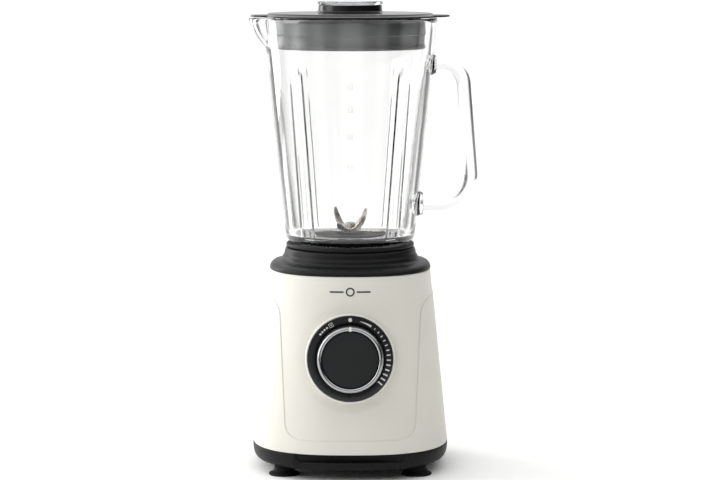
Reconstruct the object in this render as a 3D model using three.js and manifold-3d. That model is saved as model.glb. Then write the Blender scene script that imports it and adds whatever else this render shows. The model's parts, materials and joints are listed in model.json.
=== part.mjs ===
// Countertop blender: a glass jug with a handle and a pouring lip stands on a square-shouldered motor base.
// Millimetres, +Z up. The part stands on z = 0. X runs from the pouring lip (-) to the handle (+), and the
// control dial faces -Y. Everything is built round the motor axis, and the whole group is then moved along X so
// that the origin is the middle of the footprint of the bounding box.
import * as THREE from "three";
import { mergeVertices } from "three/addons/utils/BufferGeometryUtils.js";
import Module from "manifold-3d";

const wasm = await Module();
wasm.setup();

// ---------------------------------------------------------------- driving dimensions
const GAP = 0.35; // between pieces that touch on the real object

const base = { foot: 87.3, shoulder: 72, bottom: 24, top: 178, wall: 2.6, depth: 1.03, squareness: 2.9 };
const pan = { bottom: 9, floor: 3, top: 23.65, lip: 4.4 };
const recess = { halfWidth: 48.5, bottom: 16.5, height: 6.1, back: 80 };
const gland = { proud: 4.2, z: 16.5 };
const foot = { x: 58.3, y: 54, rim: 13.6, neck: 8.7 };
const post = { x: 73, y: 30 };

const seat = { well: 53.8, rim: 57.6, top: 196.2, floor: 184, under: 180.6, flare: 61.2, shaftHole: 11 };
const jug = { rimRadius: 77.5, rimTop: 400.3, wallTop: 5, footRadius: 58.1, wallFoot: 6.2, floor: 206.5, underside: 200.7 };
const jugFoot = { radius: 47.4, mouth: 34, bottom: 191 };
const lid = { radius: 78, tab: 90, bottom: 400.8, dome: 404.6, neck: 28.6, neckTop: 411.8, hole: 25.6 };
const cap = { flange: 29, top: 415, cup: 24.9, bottom: 379 };
const handle = { reach: 114.4, topZ: 359, bottomZ: 233.4, thick: 12.7, wide: 18 };

const dial = { z: 107.5, bezel: 38.6, plate: 37.1, knob: 28.6, face: 24.3, proud: 21 };
const motor = { shaft: 4, stackBottom: 92, stackTop: 146, bore: 23, halfX: 37, halfY: 33 };

const slope = (base.foot - base.shoulder) / (base.top - base.bottom);
const tilt = Math.atan(slope * base.depth); // the front face leans back by this much
const halfWidthAt = (z) => base.foot - slope * (z - base.bottom);
const dialFront = halfWidthAt(dial.z) * base.depth + (dial.proud + 0.9) * Math.cos(tilt) + dial.knob * Math.sin(tilt);
const rear = base.foot * base.depth + gland.proud;
// The group's offset, which puts the middle of the bounding box on the origin.
const axisX = (lid.tab - handle.reach) / 2;
const axisY = (dialFront - rear) / 2;

// ---------------------------------------------------------------- finishes
const finish = (color, roughness, metalness = 0, extra = {}) =>
  new THREE.MeshStandardMaterial({ color, roughness, metalness, ...extra });
const ivory = finish(0xe4e0d2, 0.5);
const black = finish(0x2b2c2e, 0.45);
const charcoal = finish(0x333435, 0.6);
const rubber = finish(0x1c1c1d, 0.8);
const greySilicone = finish(0x6a6b6c, 0.7);
const clear = finish(0xf4f8f8, 0.04, 0, { transparent: true, opacity: 0.3 });
const clearPlastic = finish(0xeef2f3, 0.08, 0, { transparent: true, opacity: 0.4 });
const satinChrome = finish(0xc9cbcc, 0.22, 1);
const bladeSteel = finish(0xc6c2bc, 0.28, 1);
const steel = finish(0x9fa2a4, 0.35, 1);
const lamination = finish(0x6b6d70, 0.5, 1);
const copper = finish(0xb3622c, 0.4, 1);
const bronze = finish(0x9a7440, 0.5, 1);
const carbon = finish(0x2a2a2a, 0.7);
const board = finish(0x2f6b3c, 0.6);

// ---------------------------------------------------------------- shaping helpers
function solidOf(geometry) {
  const plain = new THREE.BufferGeometry().setAttribute(
    "position",
    (geometry.index ? geometry.toNonIndexed() : geometry).getAttribute("position"),
  );
  const merged = mergeVertices(plain, 1e-3);
  const index = [...merged.index.array];
  const kept = [];
  for (let i = 0; i < index.length; i += 3) {
    const [a, b, c] = index.slice(i, i + 3);
    if (a !== b && b !== c && c !== a) kept.push(a, b, c);
  }
  const vertProperties = new Float32Array(merged.attributes.position.array);
  const build = (order) => new wasm.Manifold(new wasm.Mesh({ numProp: 3, vertProperties, triVerts: order }));
  const made = build(new Uint32Array(kept));
  return made.volume() < 0 ? build(new Uint32Array(kept.reverse())) : made;
}

function geometryOf(solid) {
  const mesh = solid.getMesh();
  return new THREE.BufferGeometry()
    .setAttribute("position", new THREE.BufferAttribute(new Float32Array(mesh.vertProperties), 3))
    .setIndex(new THREE.BufferAttribute(new Uint32Array(mesh.triVerts), 1));
}

const join = (...shapes) => geometryOf(shapes.map(solidOf).reduce((sum, s) => sum.add(s)));
const cut = (shape, ...tools) => geometryOf(tools.map(solidOf).reduce((left, s) => left.subtract(s), solidOf(shape)));
const turned = (points, segments = 32) =>
  new THREE.LatheGeometry(points.map(([r, z]) => new THREE.Vector2(r, z)), segments).rotateX(Math.PI / 2);
const ring = (inner, outer, z0, z1, segments = 32) =>
  turned([[inner, z0], [outer, z0], [outer, z1], [inner, z1], [inner, z0]], segments);
const rod = (radius, z0, z1, segments = 20) => turned([[0, z0], [radius, z0], [radius, z1], [0, z1]], segments);
const block = (w, d, h, x = 0, y = 0, z = 0) => new THREE.BoxGeometry(w, d, h).translate(x, y, z);
const slab = (shape, z0, z1) =>
  new THREE.ExtrudeGeometry(shape, { depth: z1 - z0, bevelEnabled: false, curveSegments: 8 }).translate(0, 0, z0);

// How much further out than a circle a rounded square lies, in the direction of a point.
function squareFactor(x, y) {
  const r = Math.hypot(x, y) || 1;
  const n = base.squareness;
  return (Math.abs(x / r) ** n + Math.abs(y / r) ** n) ** (-1 / n);
}

// Turns a lathed shape into a rounded square, fully from squareFrom outwards and not at all inside roundTo.
function squaredOff(geometry, roundTo = 0, squareFrom = 0) {
  const p = geometry.getAttribute("position");
  for (let i = 0; i < p.count; i++) {
    const x = p.getX(i);
    const y = p.getY(i);
    const r = Math.hypot(x, y);
    const share = squareFrom ? THREE.MathUtils.clamp((r - roundTo) / (squareFrom - roundTo), 0, 1) : 1;
    const k = 1 + share * (squareFactor(x, y) - 1);
    p.setXY(i, x * k, y * k * (1 + share * (base.depth - 1)));
  }
  return geometry;
}

const part = new THREE.Group();
part.position.set(axisX, axisY, 0);

function node(name, geometry, material, parent = part) {
  const mesh = new THREE.Mesh(geometry, material);
  mesh.name = name;
  parent.add(mesh);
  return mesh;
}

// ---------------------------------------------------------------- base: shell, collar, pan, feet
// The dial's own frame: local +Z points out of the front face, local +Y up along it.
const dialGroup = new THREE.Group();
dialGroup.position.set(0, -halfWidthAt(dial.z) * base.depth, dial.z);
dialGroup.rotation.x = Math.PI / 2 - tilt;
dialGroup.updateMatrix();
part.add(dialGroup);

function housingShell() {
  const inner = (z) => halfWidthAt(z) - base.wall;
  const shell = squaredOff(
    turned([
      [inner(base.bottom), base.bottom],
      [halfWidthAt(base.bottom), base.bottom],
      [halfWidthAt(base.top), base.top],
      [inner(base.top), base.top],
      [inner(base.bottom), base.bottom],
    ], 44),
  );
  const boss = rod(dial.bezel, -7, 2.2, 32).applyMatrix4(dialGroup.matrix);
  const opening = rod(dial.plate + GAP, -20, 10, 32).applyMatrix4(dialGroup.matrix);
  const posts = [];
  for (const x of [-post.x, post.x]) {
    for (const y of [-post.y, post.y]) {
      const wallRib = block(12, 2.5, 22, x + Math.sign(x) * 6, y, 39);
      posts.push(join(ring(1.5, 4.2, 28.6, 52, 12).translate(x, y, 0), cut(wallRib, rod(3, 20, 60, 12).translate(x, y, 0))));
    }
  }
  const keepInside = squaredOff(
    turned([[0, 20], [inner(20) + 1, 20], [inner(60) + 1, 60], [0, 60]], 44),
  );
  const insidePosts = geometryOf(solidOf(join(...posts)).intersect(solidOf(keepInside)));
  return cut(join(shell, boss, insidePosts), opening);
}

function topCollar() {
  const r = seat.rim;
  const lip = halfWidthAt(base.top) - base.wall - GAP;
  const body = squaredOff(
    turned([
      [seat.shaftHole, seat.under],
      [lip - 2.2, seat.under],
      [lip - 2.2, base.top - 5],
      [lip, base.top - 5],
      [lip, base.top + GAP],
      [base.shoulder, base.top + GAP],
      [base.shoulder - 0.3, base.top + 2.4],
      [base.shoulder - 1.8, base.top + 5],
      [base.shoulder - 4.6, base.top + 7.2],
      [base.shoulder - 8.4, base.top + 8.4],
      [seat.flare, base.top + 8.9],
      [seat.flare - 1.4, base.top + 12.5],
      [seat.flare - 3, seat.top - 0.6],
      [r - 0.6, seat.top],
      [seat.well + 0.4, seat.top],
      [seat.well, seat.top - 0.5],
      [seat.well, seat.floor],
      [seat.shaftHole + 2, seat.floor],
      [seat.shaftHole + 2, seat.floor + 0.9],
      [seat.shaftHole, seat.floor + 0.9],
      [seat.shaftHole, seat.under],
    ], 44),
    seat.flare,
    base.shoulder - 2,
  );
  return cut(body, rod(2.6, 170, 190, 12).translate(0, 45, 0));
}

function basePan() {
  const outer = base.foot;
  const wall = outer - pan.lip;
  const body = squaredOff(
    turned([
      [0, pan.bottom],
      [outer - 7, pan.bottom],
      [outer - 2.4, pan.bottom + 0.8],
      [outer - 0.4, pan.bottom + 3],
      [outer + 0.2, pan.bottom + 7],
      [outer, pan.top],
      [outer - base.wall - 1, pan.top],
      [outer - base.wall - 1, pan.top + 4.2],
      [outer - base.wall - 3, pan.top + 4.2],
      [outer - base.wall - 3, pan.bottom + pan.floor],
      [0, pan.bottom + pan.floor],
    ], 44),
  );
  const backing = block(2 * recess.halfWidth + 2.4, 6.5, pan.top - 10.5, 0, 0.25 - recess.back, (pan.top + 10.5) / 2);
  const tools = [
    block(2 * recess.halfWidth, 30, recess.height, 0, -recess.back - 15, recess.bottom + recess.height / 2),
    new THREE.CylinderGeometry(4.7, 4.7, 30, 20).translate(0, base.foot * base.depth, gland.z),
  ];
  for (const x of [-1, 1]) {
    for (const y of [-1, 1]) {
      tools.push(rod(4.2, 0, 20, 16).translate(x * foot.x, y * foot.y, 0));
      tools.push(rod(2.3, 0, 20, 12).translate(x * post.x, y * post.y, 0));
      tools.push(rod(4.2, 0, pan.bottom + 1.4, 12).translate(x * post.x, y * post.y, 0));
    }
  }
  for (let i = 0; i < 7; i++) {
    const y = (i - 3) * 7;
    const half = Math.sqrt(34 ** 2 - y ** 2);
    tools.push(block(2 * half, 3.4, 10, 0, y, pan.bottom + 1));
  }
  return cut(join(body, backing), ...tools);
}

function suctionFoot() {
  return turned([
    [0, 3], [6, 2.6], [10.4, 1.1], [11.4, 0], [foot.rim, 0], [foot.rim, 1.3], [10.6, 2.9],
    [foot.neck, 4.6], [foot.neck, pan.bottom - GAP], [3.8, pan.bottom - GAP], [3.8, 14], [0, 14],
  ], 16);
}

function panScrew() {
  return turned([[0, 7.9], [2.6, 7.9], [3.6, 8.6], [3.6, 9.9], [1.2, 9.9], [1.2, 34], [0, 35]], 12);
}

function cordGland() {
  return turned([[3.2, -6], [4.35, -6], [4.35, 3], [6.4, 3], [6.4, 5.2], [3.9, 6.4], [3.2, 6.4], [3.2, -6]], 20)
    .rotateX(-Math.PI / 2)
    .translate(0, base.foot * base.depth - 6.4 + gland.proud, gland.z);
}

node("housing_shell", housingShell(), ivory);
node("top_collar", topCollar(), black);
node("base_pan", basePan(), charcoal);
for (const [side, x] of [["left", -1], ["right", 1]]) {
  for (const [end, y] of [["front", -1], ["rear", 1]]) {
    node(`suction_foot_${end}_${side}`, suctionFoot().translate(x * foot.x, y * foot.y, 0), rubber);
    node(`pan_screw_${end}_${side}`, panScrew().translate(x * post.x, y * post.y, 0), steel);
  }
}
node("cord_gland", cordGland(), rubber);

// ---------------------------------------------------------------- control dial
const spindle = 3;
node(
  "scale_ring",
  turned([
    [spindle + 1.4, -3.4], [dial.plate, -3.4], [dial.plate, 1.3], [dial.plate - 0.5, 1.8], [30.4, 1.8],
    [30.4, -1.4], [spindle + 1.4, -1.4], [spindle + 1.4, -3.4],
  ], 32),
  black,
  dialGroup,
);
const knobBack = -0.9;
node(
  "knob_body",
  cut(
    turned([
      [0, knobBack], [29.6, knobBack], [29.8, 0.2], [dial.knob - 0.4, dial.proud - 4], [24.2, dial.proud - 4],
      [24.2, dial.proud - 2.4], [0, dial.proud - 2.4],
    ], 32),
    ring(7.5, 25.5, knobBack - 1, 9, 32),
    rod(spindle + GAP, knobBack - 1, 10.4, 16),
  ),
  black,
  dialGroup,
);
node(
  "knob_trim_ring",
  turned([
    [24.6, dial.proud - 3.6], [dial.knob, dial.proud - 3.6], [dial.knob, dial.proud - 1.6],
    [dial.knob - 1, dial.proud + 0.2], [26.2, dial.proud + 0.9], [25, dial.proud + 0.5], [24.6, dial.proud - 0.2],
    [24.6, dial.proud - 3.6],
  ], 32),
  satinChrome,
  dialGroup,
);
node("knob_face", rod(dial.face - 0.1, dial.proud - 2, dial.proud, 32), black, dialGroup);
node("switch_spindle", rod(spindle, -22, 10, 16), steel, dialGroup);
node(
  "rotary_switch",
  cut(
    join(block(30, 26, 12, 0, 0, -17.5), ring(4, 6.5, -12, -4.4, 16)),
    rod(spindle + GAP, -22.4, 0, 16),
  ),
  charcoal,
  dialGroup,
);
node(
  "control_board",
  join(
    block(66, 46, 1.6, 0, 0, -25),
    block(14, 11, 9, -25, 12, -20.2),
    rod(5, -24.5, -12, 12).translate(24, -12, 0),
    block(16, 8, 7, 25, 12, -21.2),
  ),
  board,
  dialGroup,
);

// ---------------------------------------------------------------- motor, fixed parts
const bracketLow = 70;
const bracketHigh = 158;

function motorStator() {
  const outline = new THREE.Shape();
  const [w, d, r] = [motor.halfX, motor.halfY, 9];
  outline.moveTo(-w + r, -d).lineTo(w - r, -d).absarc(w - r, -d + r, r, -Math.PI / 2, 0);
  outline.lineTo(w, d - r).absarc(w - r, d - r, r, 0, Math.PI / 2);
  outline.lineTo(-w + r, d).absarc(-w + r, d - r, r, Math.PI / 2, Math.PI);
  outline.lineTo(-w, -d + r).absarc(-w + r, -d + r, r, Math.PI, 1.5 * Math.PI);
  const slots = [-27, 27].flatMap((x) => [-24.5, 24.5].map((y) => block(7, 8.4, 80, x, y, 119)));
  return cut(slab(outline, motor.stackBottom, motor.stackTop), rod(motor.bore, 80, 160, 32), ...slots);
}

function fieldCoil(x) {
  return cut(block(6, 56, 72, x, 0, 119), block(8, 41.6, 56, x, 0, 119));
}

function bracket(plateZ, seatZ, legFrom, legTo) {
  const legs = [-33.8, 33.8].map((x) => block(5.6, 14, Math.abs(legTo - legFrom), x, 0, (legFrom + legTo) / 2));
  return cut(
    join(block(96, 34, 4, 0, 0, plateZ + 2), rod(15, seatZ, seatZ + 8, 20), ...legs),
    rod(11.3, seatZ - 0.1, seatZ + 8.1, 20),
    rod(5, 40, 190, 16),
  );
}

node("motor_stator", motorStator(), lamination);
node("field_coil_left", fieldCoil(-27), copper);
node("field_coil_right", fieldCoil(27), copper);
node("upper_motor_bracket", bracket(bracketHigh, bracketHigh + 4, motor.stackTop + GAP, bracketHigh + 1), steel);
node("lower_motor_bracket", bracket(bracketLow, bracketLow - 8, bracketLow + 3, motor.stackBottom - GAP), steel);
node("upper_bearing", ring(motor.shaft + 0.3, 11, bracketHigh + 4.3, bracketHigh + 11.5, 20), steel);
node("lower_bearing", ring(motor.shaft + 0.3, 11, bracketLow - 7.7, bracketLow - 0.3, 20), steel);
for (const [side, x] of [["left", -1], ["right", 1]]) {
  node(`brush_holder_${side}`, block(15, 9, 8, x * 21, 0, 78.5), bronze);
  node(`carbon_brush_${side}`, block(0.9, 6, 6, x * 12.9, 0, 78.5), carbon);
}
for (const [side, x] of [["left", -42], ["right", 42]]) {
  for (const [end, y] of [["front", -11], ["rear", 11]]) {
    node(`motor_mount_${end}_${side}`, ring(2, 5.6, bracketHigh + 4.3, seat.under - GAP, 14).translate(x, y, 0), rubber);
  }
}
node("air_duct", cut(ring(39.5, 42, pan.bottom + pan.floor + GAP, 60, 32), block(12, 100, 12, 0, 0, 18)), charcoal);

// ---------------------------------------------------------------- motor, turning parts
function star(outer, inner, teeth) {
  const shape = new THREE.Shape();
  for (let i = 0; i < teeth * 4; i++) {
    const angle = ((i - 0.5) * 2 * Math.PI) / (teeth * 4);
    const r = i % 4 < 2 ? outer : inner;
    shape[i ? "lineTo" : "moveTo"](r * Math.cos(angle), r * Math.sin(angle));
  }
  return shape;
}

function coolingFan() {
  const vanes = [];
  for (let i = 0; i < 9; i++) {
    vanes.push(block(24, 1.6, 8.5, 23, 0, 51.8).rotateZ((i * 2 * Math.PI) / 9));
  }
  return join(ring(motor.shaft + 0.3, 11.5, 47.5, 58, 16), ring(11, 36, 55.6, 57.2, 20), ...vanes);
}

node("motor_shaft", rod(motor.shaft, 46, 188, 16), steel);
node("cooling_fan", coolingFan(), charcoal);
node("commutator", ring(motor.shaft + 0.3, 12, 75, 86, 20), copper);
node(
  "armature",
  turned([
    [motor.shaft + 0.3, 87], [17, 88.5], [20, 92.5], [22.2, 92.5], [22.2, 145.5], [20, 145.5], [17, 149.5],
    [motor.shaft + 0.3, 151], [motor.shaft + 0.3, 87],
  ], 20),
  lamination,
);
node(
  "drive_coupling",
  cut(
    join(
      rod(9, 173, 186, 20),
      turned([[0, 185.3], [16, 185.3], [16, 186.2], [13.6, 187.2], [0, 187.2]], 28),
      slab(star(12.4, 9.6, 6), 187, 194.5),
    ),
    rod(motor.shaft + 0.3, 170, 189, 16),
  ),
  rubber,
);

// ---------------------------------------------------------------- safety interlock
const pinY = 45;

class Helix extends THREE.Curve {
  constructor(radius, z0, z1, turns) {
    super();
    Object.assign(this, { radius, z0, z1, turns });
  }
  getPoint(t, target = new THREE.Vector3()) {
    const a = t * this.turns * 2 * Math.PI;
    return target.set(this.radius * Math.cos(a), this.radius * Math.sin(a), this.z0 + t * (this.z1 - this.z0));
  }
}

function coilSpring(radius, wire, z0, z1, turns) {
  const section = new THREE.Shape().absarc(0, 0, wire, 0, 2 * Math.PI);
  return new THREE.ExtrudeGeometry(section, {
    steps: turns * 8,
    curveSegments: 4,
    extrudePath: new Helix(radius, z0 + wire, z1 - wire, turns),
  });
}

node("interlock_pin", join(rod(2.2, 158.6, 184.55, 14), rod(4.6, 172, 174, 14)).translate(0, pinY, 0), black);
node("interlock_spring", coilSpring(3.6, 0.45, 161.2, 171.7, 5).translate(0, pinY, 0), steel);
node(
  "interlock_switch",
  cut(
    join(
      block(22, 10, 12, 0, pinY, 149),
      block(26, 10, 3, 0, pinY, 159),
      block(3, 10, 26, -11.5, pinY, 167.2),
      block(3, 10, 26, 11.5, pinY, 167.2),
    ),
    rod(2.7, 155.5, 165, 14).translate(0, pinY, 0),
  ),
  charcoal,
);

// ---------------------------------------------------------------- jug
const wallSlope = (jug.rimRadius - jug.footRadius) / (398.7 - 209);
const outerAt = (z) => jug.footRadius + wallSlope * (z - 209);
const innerAt = (z) => outerAt(z) - THREE.MathUtils.mapLinear(z, 209, 398.7, jug.wallFoot, jug.wallTop);
const lip = { reach: 12.4, bottom: 374, halfAngle: 0.42 };

// Pushes the wall out into the pouring lip on the -X side, most at the rim and none below its bottom.
function withPouringLip(geometry) {
  const p = geometry.getAttribute("position");
  for (let i = 0; i < p.count; i++) {
    const [x, y, z] = [p.getX(i), p.getY(i), p.getZ(i)];
    const off = Math.abs(Math.atan2(y, -x)) / lip.halfAngle;
    if (z <= lip.bottom || off >= 1) continue;
    const up = Math.min(1, (z - lip.bottom) / (398.7 - lip.bottom));
    const push = lip.reach * Math.sqrt(1 - (1 - up) ** 2) * Math.cos((off * Math.PI) / 2) ** 2;
    const r = Math.hypot(x, y);
    p.setXY(i, x * (1 + push / r), y * (1 + push / r));
  }
  return geometry;
}

function jugGlass() {
  const levels = [398.7, 392.5, 386, 380, lip.bottom];
  const body = withPouringLip(
    turned([
      [jugFoot.mouth, jugFoot.bottom],
      [jugFoot.radius, jugFoot.bottom],
      [jugFoot.radius, jug.underside],
      [53.6, jug.underside],
      [56.4, 203.4],
      [outerAt(209), 209],
      [outerAt(290), 290],
      ...levels.toReversed().map((z) => [outerAt(z), z]),
      [jug.rimRadius - 0.8, jug.rimTop],
      [innerAt(398.7) + 0.8, jug.rimTop],
      ...levels.map((z) => [innerAt(z), z]),
      [innerAt(290), 290],
      [innerAt(211), 211],
      [innerAt(211) - 2, 207.6],
      [innerAt(211) - 6, jug.floor],
      [jugFoot.mouth, jug.floor],
      [jugFoot.mouth, jugFoot.bottom],
    ], 32),
  );
  const bossAlong = (z, radius, from, to) =>
    new THREE.CylinderGeometry(radius, radius * 1.12, to - from, 20).rotateZ(-Math.PI / 2).translate((from + to) / 2, 0, z);
  return join(body, bossAlong(handle.topZ, 8.4, 70.6, 76.2), bossAlong(handle.bottomZ + 1, 9.6, 57, 65));
}

function jugHandle() {
  const section = new THREE.Shape().absellipse(0, 0, handle.thick / 2, handle.wide / 2, 0, 2 * Math.PI);
  const out = handle.reach - handle.thick / 2;
  const [top, bottom] = [handle.topZ, handle.bottomZ];
  const at = (x, z) => new THREE.Vector3(x, 0, z);
  const path = new THREE.CurvePath();
  path.add(new THREE.LineCurve3(at(76.7, top), at(84, top)));
  path.add(new THREE.CubicBezierCurve3(at(84, top), at(94, top), at(out - 6.6, top - 8), at(out - 6, top - 22)));
  path.add(new THREE.LineCurve3(at(out - 6, top - 22), at(out - 0.3, bottom + 27)));
  path.add(new THREE.CubicBezierCurve3(at(out - 0.3, bottom + 27), at(out + 0.9, bottom + 10), at(98, bottom), at(82, bottom)));
  path.add(new THREE.LineCurve3(at(82, bottom), at(65.5, bottom)));
  return new THREE.ExtrudeGeometry(section, { steps: 24, curveSegments: 6, extrudePath: path });
}

node("jug_glass", jugGlass(), clear);
node("jug_handle", jugHandle(), clear);

// ---------------------------------------------------------------- jug's locking ring and blade unit
node(
  "lock_ring",
  turned([
    [36, 185], [52.9, 185], [52.9, 196.9], [56.6, 196.9], [57.1, 197.6], [57.1, 199.7], [56.4, 200.3],
    [jugFoot.radius + 0.9, 200.3], [jugFoot.radius + 0.9, 187], [36, 187], [36, 185],
  ], 32),
  black,
);
node(
  "blade_base",
  turned([
    [30.8, 187.35], [46.6, 187.35], [46.6, 189], [33.4, 189], [33.4, 206.6], [32.6, 207.4], [12, 207.4],
    [11, 208.2], [7.4, 208.2], [7.4, 197.4], [9.8, 197.4], [9.8, 203.5], [30.8, 203.5], [30.8, 187.35],
  ], 32),
  charcoal,
);
node("blade_gasket", ring(34.6, 46.2, 189.35, 190.65, 28), greySilicone);
node("upper_bushing", ring(4.4, 7.05, 203, 207.9, 20), bronze);
node("lower_bushing", ring(4.4, 7.05, 197.7, 202.6, 20), bronze);
node("blade_shaft", join(rod(4, 195.5, 209.7, 16), rod(3, 209.6, 217.6, 16)), steel);

// A strip of blade steel with a hole for the shaft and two arms bent by the same angle.
function bladeStrip(z, hub, length, width, bend, azimuth) {
  const arm = new THREE.Shape();
  arm.moveTo(0, -width / 2).lineTo(length * 0.45, -width * 0.44);
  arm.quadraticCurveTo(length * 0.86, -width * 0.32, length, width * 0.16);
  arm.lineTo(length * 0.55, width * 0.5).lineTo(0, width / 2);
  const armSolid = () => slab(arm, -0.7, 0.7).rotateY(-bend).translate(hub - 0.4, 0, z);
  const centre = block(2 * hub, width, 1.4, 0, 0, z);
  const strip = join(centre, armSolid(), armSolid().rotateZ(Math.PI));
  return cut(strip, rod(3.3, z - 6, z + 6, 16)).rotateZ(azimuth);
}

const degrees = Math.PI / 180;
node("blade_lower", bladeStrip(210.9, 9, 22, 10, -3 * degrees, 6 * degrees), bladeSteel);
node("blade_middle", bladeStrip(212.7, 7.5, 22, 10, 28 * degrees, 62 * degrees), bladeSteel);
node("blade_upper", bladeStrip(214.5, 7, 20, 10, 66 * degrees, -24 * degrees), bladeSteel);
node("blade_washer", ring(3.3, 5.6, 215.6, 216.3, 20), steel);
node("blade_nut", cut(rod(5.4, 216.7, 220.4, 6), rod(3.3, 216, 218, 16)), steel);
node(
  "driven_coupling",
  cut(
    join(rod(17, 187.8, 197, 28)),
    slab(star(13, 10.2, 6), 187, 195.2),
    rod(motor.shaft + 0.3, 187, 198, 16),
  ),
  rubber,
);

// ---------------------------------------------------------------- lid and measuring cap
function lidTab(sign) {
  const shape = new THREE.Shape();
  shape.moveTo(70, -25).lineTo(75, -25).quadraticCurveTo(86, -17, 89.2, -7);
  shape.quadraticCurveTo(90.6, 0, 89.2, 7).quadraticCurveTo(86, 17, 75, 25).lineTo(70, 25);
  return slab(shape, lid.bottom + 0.3, lid.bottom + 2).rotateZ(sign > 0 ? 0 : Math.PI);
}

node(
  "lid",
  join(
    turned([
      [lid.hole, 399], [lid.neck - 0.4, 399], [lid.neck - 0.4, lid.bottom], [60, lid.bottom], [60, 377], [62.6, 377],
      [62.6, lid.bottom], [lid.radius, lid.bottom], [lid.radius, lid.bottom + 1.4], [73.8, lid.dome - 0.6],
      [72, lid.dome], [30, lid.dome + 0.6], [lid.neck, lid.dome + 1.4], [lid.neck - 0.4, lid.neckTop],
      [lid.hole, lid.neckTop], [lid.hole, 399],
    ], 32),
    lidTab(-1),
    lidTab(1),
  ),
  black,
);
node(
  "lid_seal",
  turned([
    [63, 374], [65.6, 373.2], [67.1, 374.2], [67.1, 376.4], [65.9, 377.4], [65.9, 386], [67.2, 386.6], [66, 398],
    [63, 398], [63, 374],
  ], 32),
  greySilicone,
);
node(
  "measuring_cap",
  turned([
    [cap.cup - 1.8, cap.bottom], [cap.cup - 0.6, cap.bottom], [cap.cup, 412.2], [cap.flange, 412.2], [cap.flange, 414.4],
    [cap.flange - 0.8, cap.top], [0, cap.top], [0, 412.8], [cap.cup - 2.2, 412.4], [cap.cup - 1.8, cap.bottom],
  ], 28),
  clearPlastic,
);

export default part;
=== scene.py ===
import json
import math

import bmesh
import bpy
from mathutils import Matrix, Vector

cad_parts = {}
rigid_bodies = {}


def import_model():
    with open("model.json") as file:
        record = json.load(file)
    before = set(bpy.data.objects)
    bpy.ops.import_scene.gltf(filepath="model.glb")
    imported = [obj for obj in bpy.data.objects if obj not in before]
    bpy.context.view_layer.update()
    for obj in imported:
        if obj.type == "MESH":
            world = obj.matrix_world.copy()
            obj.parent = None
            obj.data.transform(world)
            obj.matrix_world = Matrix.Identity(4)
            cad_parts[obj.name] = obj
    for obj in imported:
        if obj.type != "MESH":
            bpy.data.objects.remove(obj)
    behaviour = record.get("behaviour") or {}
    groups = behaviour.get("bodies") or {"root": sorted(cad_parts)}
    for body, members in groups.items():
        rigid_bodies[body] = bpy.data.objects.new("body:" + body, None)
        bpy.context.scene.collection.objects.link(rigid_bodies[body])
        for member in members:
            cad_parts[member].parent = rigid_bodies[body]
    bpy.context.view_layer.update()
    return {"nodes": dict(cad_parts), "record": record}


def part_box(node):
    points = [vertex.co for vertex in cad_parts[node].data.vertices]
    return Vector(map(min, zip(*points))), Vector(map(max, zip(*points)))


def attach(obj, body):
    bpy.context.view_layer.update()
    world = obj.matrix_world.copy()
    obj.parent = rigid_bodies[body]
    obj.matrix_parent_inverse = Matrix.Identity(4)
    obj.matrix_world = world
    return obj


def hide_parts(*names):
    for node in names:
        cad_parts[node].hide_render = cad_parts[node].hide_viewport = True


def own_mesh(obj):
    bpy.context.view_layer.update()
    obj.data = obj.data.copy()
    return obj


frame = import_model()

for stray in [o for o in bpy.data.objects if o.name in ("Cube", "Light", "Camera")]:
    bpy.data.objects.remove(stray)

# ------------ base pan
# The black tray that closes the motor base from below. It is moulded in polypropylene with a rounded lower edge,
# a recess under the front through which cooling air is drawn, and rows of slots in its floor. Four screws hold it.
MM = 0.001
shaft_low, shaft_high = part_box("motor_shaft")
AXIS = Vector(((shaft_low.x + shaft_high.x) / 2, (shaft_low.y + shaft_high.y) / 2, 0))
ON_AXIS = Matrix.Translation(AXIS)
FOOT_HALF_WIDTH = 87.3
FOOT_HALF_DEPTH = 89.9


def start_piece(name):
    """Names the object just added, applies its place to its mesh and opens it in edit mode, all selected."""
    piece = bpy.context.object
    piece.name = piece.data.name = name
    bpy.ops.object.transform_apply(location=True, rotation=True, scale=True)
    bpy.ops.object.mode_set(mode="EDIT")
    bpy.ops.mesh.select_mode(type="VERT")
    bpy.ops.mesh.select_all(action="SELECT")
    return piece


def pick(piece, wanted, kind="verts"):
    """Selects only the vertices, edges or faces that wanted() accepts."""
    bpy.ops.mesh.select_mode(type={"verts": "VERT", "edges": "EDGE", "faces": "FACE"}[kind])
    bpy.ops.mesh.select_all(action="DESELECT")
    mesh = bmesh.from_edit_mesh(piece.data)
    for item in getattr(mesh, kind):
        if wanted(item):
            item.select_set(True)
    mesh.select_flush_mode()
    bmesh.update_edit_mesh(piece.data)


def added(name, kind, **settings):
    """A piece made by one of the mesh primitives, open in edit mode."""
    bpy.ops.object.select_all(action="DESELECT")
    getattr(bpy.ops.mesh, f"primitive_{kind}_add")(**settings)
    return start_piece(name)


def closed_up():
    """Turns all faces outwards and leaves edit mode."""
    bpy.ops.mesh.select_all(action="SELECT")
    bpy.ops.mesh.normals_make_consistent(inside=False)
    bpy.ops.object.mode_set(mode="OBJECT")


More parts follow.
